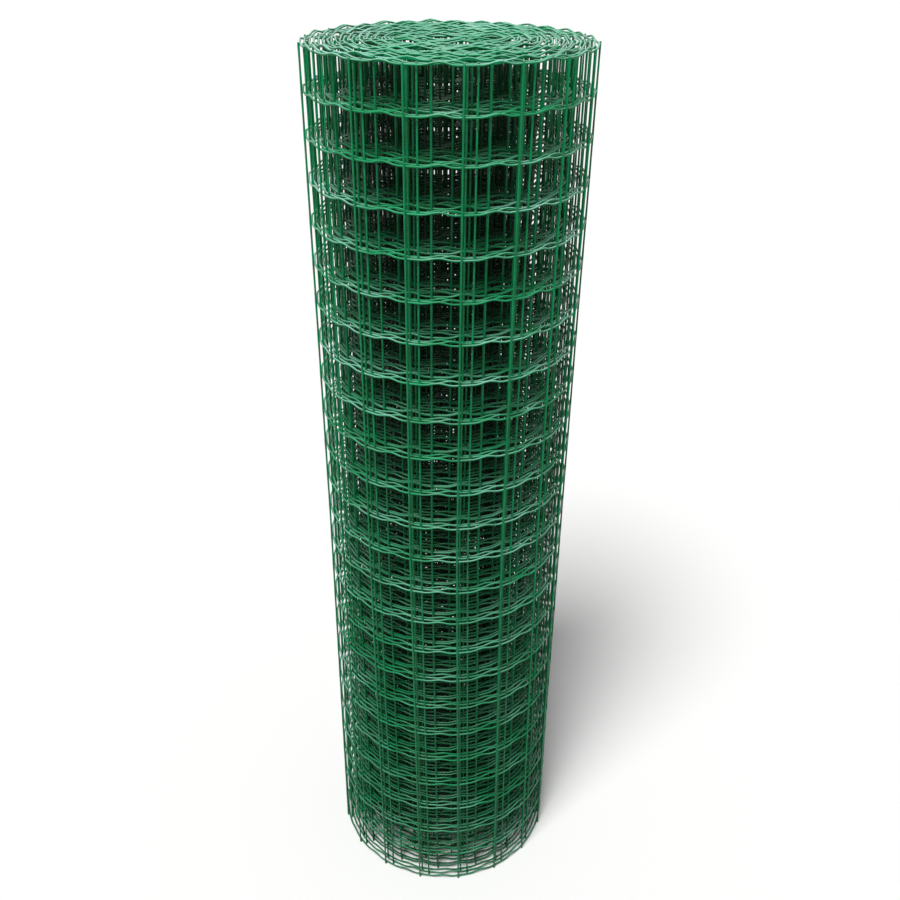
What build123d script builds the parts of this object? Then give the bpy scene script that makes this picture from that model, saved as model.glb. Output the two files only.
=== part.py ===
from build123d import *
import os

# Roll of plastic-coated welded wire fencing, standing on end. Millimetres, Z up.
# The origin is the middle of the roll's foot, on the ground.

# The mesh, as it is sold
cell_height = 50.0      # from one line wire to the next, up the roll
cell_rows = 24          # spaces between the line wires
wire_diameter = 2.4     # over the plastic coat
stub_length = 2.0       # stay wire left past the last line wire at each edge
crimp_rise = 3.4        # how far a crimp lifts a line wire inside its cell

# The winding
turn_count = 19         # turns from the outside to the bore
roll_radius = 166.0     # over the stay wires of the outermost turn, at the foot
top_flare = 5.0         # how far the roll opens out from its middle to its top
bore_radius = 30.0      # clear round hole up the middle
turn_slip = 6.0         # how far the turns have slid past each other, along the roll
gap_depth = 6.0         # how deep the gap between two turns is cut at each end

# A turn is as thick as a line wire with a stay wire over it
mesh_thickness = 2 * wire_diameter

# The top is the higher of the stubs and the crimps
edge_rise = wire_diameter / 2 + max(stub_length, crimp_rise)
foot_rise = wire_diameter / 2 + stub_length
roll_height = foot_rise + cell_rows * cell_height + edge_rise + turn_slip
top_radius = roll_radius + top_flare

# The outermost turn and the innermost are left whole
gap_half_turns = 2 * turn_count - 4


def gap_half_turn(number, outside):
    """One half turn of the gap at the foot: a vee, turned half round one of two centres."""
    turn_pitch = (outside - bore_radius) / turn_count
    half_gap = (turn_pitch - mesh_thickness) / 2
    side = 1 if number % 2 == 0 else -1
    centre = side * turn_pitch / 4
    radius = outside - turn_pitch / 4 - mesh_thickness - half_gap - number * turn_pitch / 2
    middle = centre + side * radius
    vee = Polyline((middle - half_gap, 0, 0), (middle, 0, gap_depth), (middle + half_gap, 0, 0), close=True)
    return revolve(make_face(vee), axis=Axis((centre, 0, 0), (0, 0, 1)), revolution_arc=180)


def spiral_gap(outside):
    """The gap between the turns of one end, from the outer end of the mesh to the inner end."""
    return Part() + [gap_half_turn(number, outside) for number in range(gap_half_turns)]


def wound_body():
    """The wound mesh as one turned body, from the bore to the outermost turn."""
    section = Polyline(
        (bore_radius, 0, 0),
        (roll_radius, 0, 0),
        (roll_radius, 0, roll_height / 2),
        (top_radius, 0, roll_height),
        (bore_radius, 0, roll_height),
        close=True,
    )
    return revolve(make_face(section), axis=Axis.Z)


def mesh_roll():
    """The roll, its turns open to see at the foot and at the top."""
    top_gap = mirror(spiral_gap(top_radius), about=Plane.XY.offset(roll_height / 2))
    return wound_body() - spiral_gap(roll_radius) - top_gap


os.makedirs("parts", exist_ok=True)
export_step(mesh_roll(), "parts/mesh_roll.step")
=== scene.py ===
import bisect
import math
import random

import bmesh
import bpy
from mathutils import Matrix, Vector, noise


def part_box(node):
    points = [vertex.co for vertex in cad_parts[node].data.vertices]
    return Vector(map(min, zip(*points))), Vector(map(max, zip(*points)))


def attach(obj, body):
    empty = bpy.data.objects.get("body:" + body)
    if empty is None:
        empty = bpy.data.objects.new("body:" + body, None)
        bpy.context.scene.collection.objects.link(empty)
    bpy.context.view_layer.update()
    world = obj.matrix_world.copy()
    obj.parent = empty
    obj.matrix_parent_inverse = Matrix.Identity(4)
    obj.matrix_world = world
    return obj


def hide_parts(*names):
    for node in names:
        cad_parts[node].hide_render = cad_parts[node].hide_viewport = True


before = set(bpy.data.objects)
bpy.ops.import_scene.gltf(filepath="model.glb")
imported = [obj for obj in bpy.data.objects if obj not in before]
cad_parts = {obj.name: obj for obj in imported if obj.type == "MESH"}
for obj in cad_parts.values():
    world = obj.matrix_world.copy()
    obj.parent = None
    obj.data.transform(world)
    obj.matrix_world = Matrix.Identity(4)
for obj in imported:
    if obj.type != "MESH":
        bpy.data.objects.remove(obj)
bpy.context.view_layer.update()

# Camera.
# It stands a good step in front of the roll, a little above its top, and looks down its length.
# It leans and turns by half a degree or less, as a camera held in the hand does.
mm = 0.001
camera_distance = 1222.7 * mm
camera_height = 1369.3 * mm
camera_pitch = math.radians(29.49)
camera_yaw = math.radians(0.215)
camera_roll = math.radians(0.541)
camera_lens = 40.84
camera_reach = 200.0

camera_data = bpy.data.cameras.new("camera")
camera_data.lens = camera_lens
camera_data.clip_end = camera_reach
camera = bpy.data.objects.new("camera", camera_data)
camera.matrix_world = (
    Matrix.Translation((0, -camera_distance, camera_height))
    @ Matrix.Rotation(-camera_yaw, 4, "Z")
    @ Matrix.Rotation(math.pi / 2 - camera_pitch, 4, "X")
    @ Matrix.Rotation(camera_roll, 4, "Z")
)
bpy.context.collection.objects.link(camera)
bpy.context.scene.camera = camera
bpy.context.scene.view_settings.view_transform = "Standard"

# Floor.
# A pale, matt studio floor that runs out of sight on every side and takes the roll's shadow.
# It shows pale, and throws less light back at the roll than it shows.
floor_half_width = 60.0
floor_colour = "FAFAF9"
floor_bounce = "707070"


def linear(hex_colour):
    """An sRGB hex colour as linear red, green, blue and alpha."""
    parts = [int(hex_colour[i:i + 2], 16) / 255 for i in (0, 2, 4)]
    return [c / 12.92 if c <= 0.04045 else ((c + 0.055) / 1.055) ** 2.4 for c in parts] + [1.0]


def add_node(tree, kind, links=None, **settings):
    """Adds a node. A setting is a property or an input's value, and a link is input name to socket."""
    node = tree.nodes.new(kind)
    for key, value in settings.items():
        if hasattr(node, key):
            setattr(node, key, value)
        else:
            node.inputs[key.replace("_", " ")].default_value = value
    for key, socket in (links or {}).items():
        tree.links.new(socket, node.inputs[key])
    return node


def new_material(name):
    """An empty node material and its tree."""
    material = bpy.data.materials.new(name)
    material.use_nodes = True
    material.node_tree.nodes.clear()
    return material, material.node_tree


def new_object(name, mesh, *materials):
    """An object at the origin with this mesh and these materials."""
    for material in materials:
        mesh.materials.append(material)
    made = bpy.data.objects.new(name, mesh)
    bpy.context.collection.objects.link(made)
    return made


def background_rays(tree):
    """1 for a ray that shows the background: seen by the camera, in a gloss or through glass."""
    path = add_node(tree, "ShaderNodeLightPath")
    shown = path.outputs["Is Camera Ray"]
    for kind in ("Is Glossy Ray", "Is Transmission Ray"):
        either = add_node(tree, "ShaderNodeMath", {0: shown, 1: path.outputs[kind]}, operation="MAXIMUM")
        shown = either.outputs[0]
    return shown


floor_material, tree = new_material("matt_studio_floor")
paint = add_node(
    tree,
    "ShaderNodeMixRGB",
    {"Fac": background_rays(tree)},
    Color1=linear(floor_bounce),
    Color2=linear(floor_colour),
)
shader = add_node(tree, "ShaderNodeBsdfPrincipled", {"Base Color": paint.outputs["Color"]}, Roughness=0.9)
add_node(tree, "ShaderNodeOutputMaterial", {"Surface": shader.outputs["BSDF"]})

bm = bmesh.new()
bmesh.ops.create_grid(bm, x_segments=1, y_segments=1, size=floor_half_width)
floor_mesh = bpy.data.meshes.new("floor")
bm.to_mesh(floor_mesh)
bm.free()
floor = new_object("floor", floor_mesh, floor_material)

# Light.
# An even room that shows white and lights softly, and one very soft lamp.
# The lamp is high up in front and to the left, so the shadow falls behind and to the right.
room_light = 0.19
lamp_strength = 3.1
lamp_softness = math.radians(24)
lamp_tilt = math.radians(28)
lamp_swing = math.radians(-24)

world = bpy.data.worlds.new("white_room")
world.use_nodes = True
bpy.context.scene.world = world
tree = world.node_tree
tree.nodes.clear()
shown = background_rays(tree)
strength = add_node(tree, "ShaderNodeMapRange", {"Value": shown}, To_Min=room_light, To_Max=1.0)
room = add_node(tree, "ShaderNodeBackground", {"Strength": strength.outputs["Result"]}, Color=(1, 1, 1, 1))
add_node(tree, "ShaderNodeOutputWorld", {"Surface": room.outputs["Background"]})

lamp_data = bpy.data.lights.new("soft_lamp", "SUN")
lamp_data.energy = lamp_strength
lamp_data.angle = lamp_softness
lamp = bpy.data.objects.new("soft_lamp", lamp_data)
lamp.matrix_world = Matrix.Rotation(lamp_swing, 4, "Z") @ Matrix.Rotation(lamp_tilt, 4, "X")
bpy.context.collection.objects.link(lamp)

# The wound mesh.
# One length of welded steel mesh is wound on itself, loosely, so its turns lie a wire or two apart.
# The first turns were squeezed flat, and each turn outwards is rounder, so the outside is a circle.
box_right, _, box_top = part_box("mesh_roll")[1]
wire_radius = 1.2 * mm          # over the coat
wire_sides = 6
stub_length = 2.0 * mm          # stay wire left past the lowest line wire
row_height = 50.0 * mm          # from one line wire to the next
row_count = 25
crimp_rise = 3.4 * mm
stay_spacing = 59.33 * mm
first_stay = 34.84 * mm         # from the outer end of the mesh
weld_seat = 1.7 * wire_radius   # from the middle of a line wire to the middle of a stay on it
weld_swell = 1.15               # how much thicker a wire is where the coat fills round a weld

outer_turn_room = 4.2 * mm      # from the middle of the outermost line wires to the box, at the top
top_flare = 5.0 * mm            # how far the roll opens out from its middle to its top
foot_lead = 9.0 * mm            # how far round the stays lean from the middle to the foot
outer_radius = box_right - top_flare - outer_turn_room
core_half_width = 52.23 * mm
core_half_depth = 9.53 * mm
core_shift = Vector((2.64 * mm, 0.17 * mm, 0))
outer_gap_wide = 4.99 * mm      # from the outermost turn to the next, at the roll's sides
outer_gap_deep = 6.348 * mm     # the same at its front and back
turn_count = 27.268             # turns from the outside to the core
mesh_turns = 26.9               # turns that the mesh fills of them
tail_angle = math.radians(73.49)
step_share = 0.13               # the last part of each turn, where the winding steps in by a gap
spiral_steps = 360              # straight steps to a turn

turn_slip = box_top - 2 * wire_radius - stub_length - (row_count - 1) * row_height - crimp_rise
foot_line = stub_length + wire_radius
mesh_height = 2 * foot_line + (row_count - 1) * row_height


def eased(share):
    """A share from 0 to 1 that starts and ends gently."""
    return share * share * (3 - 2 * share)


def turns_in(turns):
    """Turns of the winding passed, held level round most of a turn and let in near its end."""
    whole = math.floor(turns)
    part = max(0.0, (turns - whole - 1 + step_share) / step_share)
    return whole + eased(part)


def half_axis(turns, outer, inner, first_gap):
    """Half the width of a turn: the gaps are widest outside and close up towards the core."""
    share = turns / turn_count
    closing = outer - inner - first_gap * turn_count
    return outer - first_gap * turns - closing * share * share


def spiral(angle):
    """The winding's centre line seen from above, after this angle of travel from its outer end."""
    turns = min(turns_in(angle / math.tau), turn_count)
    way = tail_angle + angle
    wide = half_axis(turns, outer_radius, core_half_width, outer_gap_wide)
    deep = half_axis(turns, outer_radius, core_half_depth, outer_gap_deep)
    return Vector((wide * math.cos(way), deep * math.sin(way), 0)) + core_shift * (turns / turn_count) ** 2


spiral_angles = [i * math.tau / spiral_steps for i in range(int(mesh_turns * spiral_steps) + 1)]
spiral_points = [spiral(angle) for angle in spiral_angles]
spiral_lengths = [0.0]
for before, after in zip(spiral_points, spiral_points[1:]):
    spiral_lengths.append(spiral_lengths[-1] + (after - before).length)
mesh_length = spiral_lengths[-1]
stay_count = int((mesh_length - first_stay) / stay_spacing) + 1


def on_spiral(length):
    """The place, the outward direction and the turn at this length from the outer end."""
    i = min(max(bisect.bisect(spiral_lengths, length), 1), len(spiral_lengths) - 1)
    before, after = spiral_points[i - 1], spiral_points[i]
    share = (length - spiral_lengths[i - 1]) / (spiral_lengths[i] - spiral_lengths[i - 1])
    along = (after - before).normalized()
    outward = Vector((along.y, -along.x, 0))
    return before.lerp(after, share), outward, (i - 1 + share) / spiral_steps


# Each half turn has slid a little along the roll, as a share of turn_slip, and the outer ones least.
slip_climb = 0.3        # how much higher the core has slid than the outside
slip_scatter = 0.35     # how far a half turn has slid up or down from that
slip_settling = 8       # half turns from the outside to where they scatter in full
slip_chance = random.Random(3)
slip_count = 2 * math.ceil(turn_count) + 1
slips = []
for half_turn in range(slip_count):
    scatter = slip_scatter * min(1.0, half_turn / slip_settling) * slip_chance.uniform(-1.0, 1.0)
    slips.append(slip_climb * half_turn / slip_count + scatter)
lowest_slip = min(slips)


def slip(turns):
    """How high the mesh stands after so many turns: the half turn that slid lowest is on the floor."""
    place = turns * 2
    i = int(place)
    share = eased(place - i)
    return turn_slip * (slips[i] * (1 - share) + slips[i + 1] * share - lowest_slip)


# The turns aren't quite true either.
unevenness = 0.6 * mm   # how far they stray in and out
wave_length = 250 * mm  # how long such a stray is
wave_seed = 3.7


def mesh_point(length, height, proud=0.0):
    """A point of the wound mesh: length from its outer end, height above its foot, and how far proud."""
    place, outward, turns = on_spiral(length + foot_lead * max(0.0, 1 - 2 * height / mesh_height))
    stray = unevenness * noise.noise(Vector((length / wave_length, height / wave_length, wave_seed)))
    flare = 1 + top_flare / outer_radius * max(0.0, 2 * height / mesh_height - 1)
    return (place + outward * (proud + stray)) * flare + Vector((0, 0, height + slip(turns)))


def wire_mesh(wires):
    """A mesh of round wires. A wire is a list of places, each with its thickness as a share."""
    curve = bpy.data.curves.new("wires", "CURVE")
    curve.dimensions = "3D"
    curve.bevel_depth = wire_radius
    curve.bevel_resolution = wire_sides // 2 - 2
    curve.use_fill_caps = True
    for wire in wires:
        spline = curve.splines.new("POLY")
        spline.points.add(len(wire) - 1)
        for point, (place, share) in zip(spline.points, wire):
            point.co = (*place, 1)
            point.radius = share
    holder = bpy.data.objects.new("wires", curve)
    mesh = bpy.data.meshes.new_from_object(holder)
    bpy.data.objects.remove(holder)
    bpy.data.curves.remove(curve)
    return mesh


# PVC coat.
# Soft PVC, sintered on the welded mesh, glossy and mottled green. Painted shade makes it deep green where
# the turns hide each other and darker towards the foot, painted light makes it paler on the outer turns and
# the rim, and a pale painted highlight lies in patches on the upper sides of the wires.
painted_shade_greens = ("002410", "00401F")
painted_lit_greens = ("008A4C", "02A86A")
painted_highlight_colour = "B2E4DA"

painted_light_start = 90 * mm     # from the roll's axis: nearer to it the turns are painted in full shade
painted_light_end = 164 * mm
painted_light_at_foot = 0.5       # how far the foot is painted lit, where the top is 1: painted shade deepens towards the foot
rim_start = 15 * mm         # below the box's top: the rim is painted lit from here up
rim_full = 8 * mm

mottle_size = 30 * mm
mottle_range = (0.3, 0.7)
gloss_range = (0.2, 0.34)
patch_size = 90 * mm
patch_range = (0.42, 0.64)
patch_least = 0.1
rim_highlight = 0.55             # painted highlight on the rim, where a full patch is 1
highlight_facing_range = (0.3, 0.95)    # how far up a side faces to take the painted highlight
grain_size = 1.2 * mm       # coarser than the real skin's, so that it shows
grain_depth = 0.1 * mm

pvc, tree = new_material("sintered_green_pvc")
coordinates = add_node(tree, "ShaderNodeTexCoord")
spot = coordinates.outputs["Object"]
facing = add_node(tree, "ShaderNodeSeparateXYZ", {"Vector": coordinates.outputs["Normal"]})
parts = add_node(tree, "ShaderNodeSeparateXYZ", {"Vector": spot})
flat = add_node(tree, "ShaderNodeCombineXYZ", {"X": parts.outputs["X"], "Y": parts.outputs["Y"]})
reach = add_node(tree, "ShaderNodeVectorMath", {"Vector": flat.outputs["Vector"]}, operation="LENGTH")
# Painted shade and light: the coat is painted in shade towards the roll's axis and towards the foot, and
# painted lit on the outer turns and the top rim.
side = add_node(
    tree,
    "ShaderNodeMapRange",
    {"Value": reach.outputs["Value"]},
    From_Min=painted_light_start,
    From_Max=painted_light_end,
)
rim = add_node(
    tree,
    "ShaderNodeMapRange",
    {"Value": parts.outputs["Z"]},
    From_Min=box_top - rim_start,
    From_Max=box_top - rim_full,
)
painted_light_reach = add_node(
    tree, "ShaderNodeMath", {0: side.outputs["Result"], 1: rim.outputs["Result"]}, operation="MAXIMUM"
)
painted_light_by_height = add_node(
    tree,
    "ShaderNodeMapRange",
    {"Value": parts.outputs["Z"]},
    From_Max=box_top,
    To_Min=painted_light_at_foot,
    To_Max=1.0,
)
painted_light_share = add_node(
    tree, "ShaderNodeMath", {0: painted_light_reach.outputs[0], 1: painted_light_by_height.outputs["Result"]}, operation="MULTIPLY"
)

mottle = add_node(tree, "ShaderNodeTexNoise", {"Vector": spot}, Scale=1 / mottle_size, Detail=5.0)
painted_shade_ramp = add_node(tree, "ShaderNodeValToRGB", {"Fac": mottle.outputs["Fac"]})
painted_lit_ramp = add_node(tree, "ShaderNodeValToRGB", {"Fac": mottle.outputs["Fac"]})
for ramp, greens in ((painted_shade_ramp, painted_shade_greens), (painted_lit_ramp, painted_lit_greens)):
    for element, green, position in zip(ramp.color_ramp.elements, greens, mottle_range):
        element.color = linear(green)
        element.position = position
# The coat mixes a painted-shade copy and a painted-lit copy of the mottled green.
coat = add_node(
    tree,
    "ShaderNodeMixRGB",
    {"Fac": painted_light_share.outputs[0], "Color1": painted_shade_ramp.outputs["Color"], "Color2": painted_lit_ramp.outputs["Color"]},
)

# Painted highlight: a pale colour on the upper sides of the wires, in patches and over the rim, only where
# the coat is painted lit.
facing_up = add_node(
    tree,
    "ShaderNodeMapRange",
    {"Value": facing.outputs["Z"]},
    From_Min=highlight_facing_range[0],
    From_Max=highlight_facing_range[1],
)
patches = add_node(tree, "ShaderNodeTexNoise", {"Vector": spot}, Scale=1 / patch_size, Detail=2.0)
patchy = add_node(
    tree,
    "ShaderNodeMapRange",
    {"Value": patches.outputs["Fac"]},
    From_Min=patch_range[0],
    From_Max=patch_range[1],
    To_Min=patch_least,
    To_Max=1.0,
)
on_rim = add_node(tree, "ShaderNodeMapRange", {"Value": rim.outputs["Result"]}, To_Max=rim_highlight)
highlight_spread = add_node(
    tree, "ShaderNodeMath", {0: patchy.outputs["Result"], 1: on_rim.outputs["Result"]}, operation="MAXIMUM"
)
painted_highlight_share = painted_light_share.outputs[0]
for share in (painted_light_share.outputs[0], facing_up.outputs["Result"], highlight_spread.outputs[0]):
    painted_highlight_share = add_node(tree, "ShaderNodeMath", {0: painted_highlight_share, 1: share}, operation="MULTIPLY").outputs[0]
# The painted highlight is mixed over the coat.
colour = add_node(
    tree, "ShaderNodeMixRGB", {"Fac": painted_highlight_share, "Color1": coat.outputs["Color"]}, Color2=linear(painted_highlight_colour)
)

gloss = add_node(
    tree,
    "ShaderNodeMapRange",
    {"Value": mottle.outputs["Fac"]},
    To_Min=gloss_range[0],
    To_Max=gloss_range[1],
)
grain = add_node(tree, "ShaderNodeTexNoise", {"Vector": spot}, Scale=1 / grain_size, Detail=2.0)
bump = add_node(
    tree, "ShaderNodeBump", {"Height": grain.outputs["Fac"]}, Strength=0.2, Distance=grain_depth
)
shader = add_node(
    tree,
    "ShaderNodeBsdfPrincipled",
    {
        "Base Color": colour.outputs["Color"],
        "Roughness": gloss.outputs["Result"],
        "Normal": bump.outputs["Normal"],
    },
    IOR=1.5,
    Specular_IOR_Level=0.2,
)
add_node(tree, "ShaderNodeOutputMaterial", {"Surface": shader.outputs["BSDF"]})

# Cut ends.
# The mesh was cropped to width and length after it was coated, so each wire ends in bare
# galvanised steel: small, bright and slightly torn by the blade.
steel_greys = ("A9ACAA", "E2E4E2")
tear_size = 0.6 * mm

steel, tree = new_material("cropped_galvanised_steel")
spot = add_node(tree, "ShaderNodeTexCoord").outputs["Object"]
tears = add_node(tree, "ShaderNodeTexNoise", {"Vector": spot}, Scale=1 / tear_size, Detail=2.0)
colour = add_node(tree, "ShaderNodeValToRGB", {"Fac": tears.outputs["Fac"]})
for element, grey in zip(colour.color_ramp.elements, steel_greys):
    element.color = linear(grey)
shader = add_node(
    tree, "ShaderNodeBsdfPrincipled", {"Base Color": colour.outputs["Color"]}, Metallic=1.0, Roughness=0.35
)
add_node(tree, "ShaderNodeOutputMaterial", {"Surface": shader.outputs["BSDF"]})

# Line wires.
# Drawn steel wires that run the whole length of the mesh, round and round the roll.
# Each has one crimp pressed into it in every cell, which keeps the fence tight once it is strained.
# The shares are places along a cell, from one stay wire to the next.
crimp_start = 0.3
crimp_peak = 0.6
crimp_end = 0.88
crimp_least = 0.85      # the lowest crimps, as a share of crimp_rise
crimp_seed = 100
shares_outside = (0.0, 0.3, 0.4, 0.5, 0.6, 0.7, 0.79, 0.88)
shares_inside = (0.0, 0.3, 0.45, 0.6, 0.74, 0.88)
cells_outside = 140     # cells from the outer end, past which the turns are too hidden to need more
cut_past = 3.0 * mm     # line wire left past the last stay wire
line_groups = {
    "line_wires_foot": (0, 6),
    "line_wires_lower": (6, 12),
    "line_wires_upper": (12, 18),
    "line_wires_top": (18, row_count),
}


def crimp(share):
    """The crimp's rise at this share of a cell: level past each stay, then one narrow hump."""
    if share < crimp_peak:
        wave = max(0.0, share - crimp_start) / (crimp_peak - crimp_start)
    else:
        wave = max(0.0, crimp_end - share) / (crimp_end - crimp_peak)
    return 0.5 - 0.5 * math.cos(math.pi * wave)


def line_wire(row):
    """One line wire from cut end to cut end."""
    height = foot_line + row * row_height
    wire = [(mesh_point(0, height), 1.0)]
    chance = random.Random(crimp_seed + row)
    for cell in range(stay_count - 1):
        rise = crimp_rise * chance.uniform(crimp_least, 1.0)
        for share in shares_outside if cell < cells_outside else shares_inside:
            length = first_stay + (cell + share) * stay_spacing
            swell = weld_swell if share == 0 else 1.0
            wire.append((mesh_point(length, height + rise * crimp(share)), swell))
    last_stay = first_stay + (stay_count - 1) * stay_spacing
    wire.append((mesh_point(last_stay, height), weld_swell))
    wire.append((mesh_point(last_stay + cut_past, height), 1.0))
    return wire


def bare_ends(mesh):
    """Smooths the round sides of the wires, and gives their flat cut ends the second material."""
    for face in mesh.polygons:
        on_side = len(face.vertices) == 4
        face.use_smooth = on_side
        face.material_index = 0 if on_side else 1


for name, (first, last) in line_groups.items():
    mesh = wire_mesh([line_wire(row) for row in range(first, last)])
    piece = new_object(name, mesh, pvc, steel)
    bare_ends(mesh)
    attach(piece, "root")
    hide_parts("mesh_roll")

# Stay wires.
# Straight cross wires of the same drawn steel, as long as the mesh is wide.
# They are welded over the outside of the line wires, and cropped just past the first and the last.
stay_steps = 3              # straight steps between two line wires
top_stub = 0.8 * mm         # stay wire left past the topmost line wire
foot_clear = 0.05 * mm      # keeps the lowest ends just off the floor
stay_top = mesh_height - stub_length + top_stub
stay_groups = {
    "stay_wires_outer": (0, stay_count // 2),
    "stay_wires_inner": (stay_count // 2, stay_count),
}


def stay_wire(stay):
    """One stay wire from foot to top."""
    length = first_stay + stay * stay_spacing
    wire = [(mesh_point(length, foot_clear, weld_seat), 1.0)]
    for row in range(row_count):
        height = foot_line + row * row_height
        wire.append((mesh_point(length, height, weld_seat), weld_swell))
        if row < row_count - 1:
            for step in range(1, stay_steps):
                between = height + row_height * step / stay_steps
                wire.append((mesh_point(length, between, weld_seat), 1.0))
    wire.append((mesh_point(length, stay_top, weld_seat), 1.0))
    return wire


for name, (first, last) in stay_groups.items():
    mesh = wire_mesh([stay_wire(stay) for stay in range(first, last)])
    piece = new_object(name, mesh, pvc, steel)
    bare_ends(mesh)
    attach(piece, "root")
    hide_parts("mesh_roll")
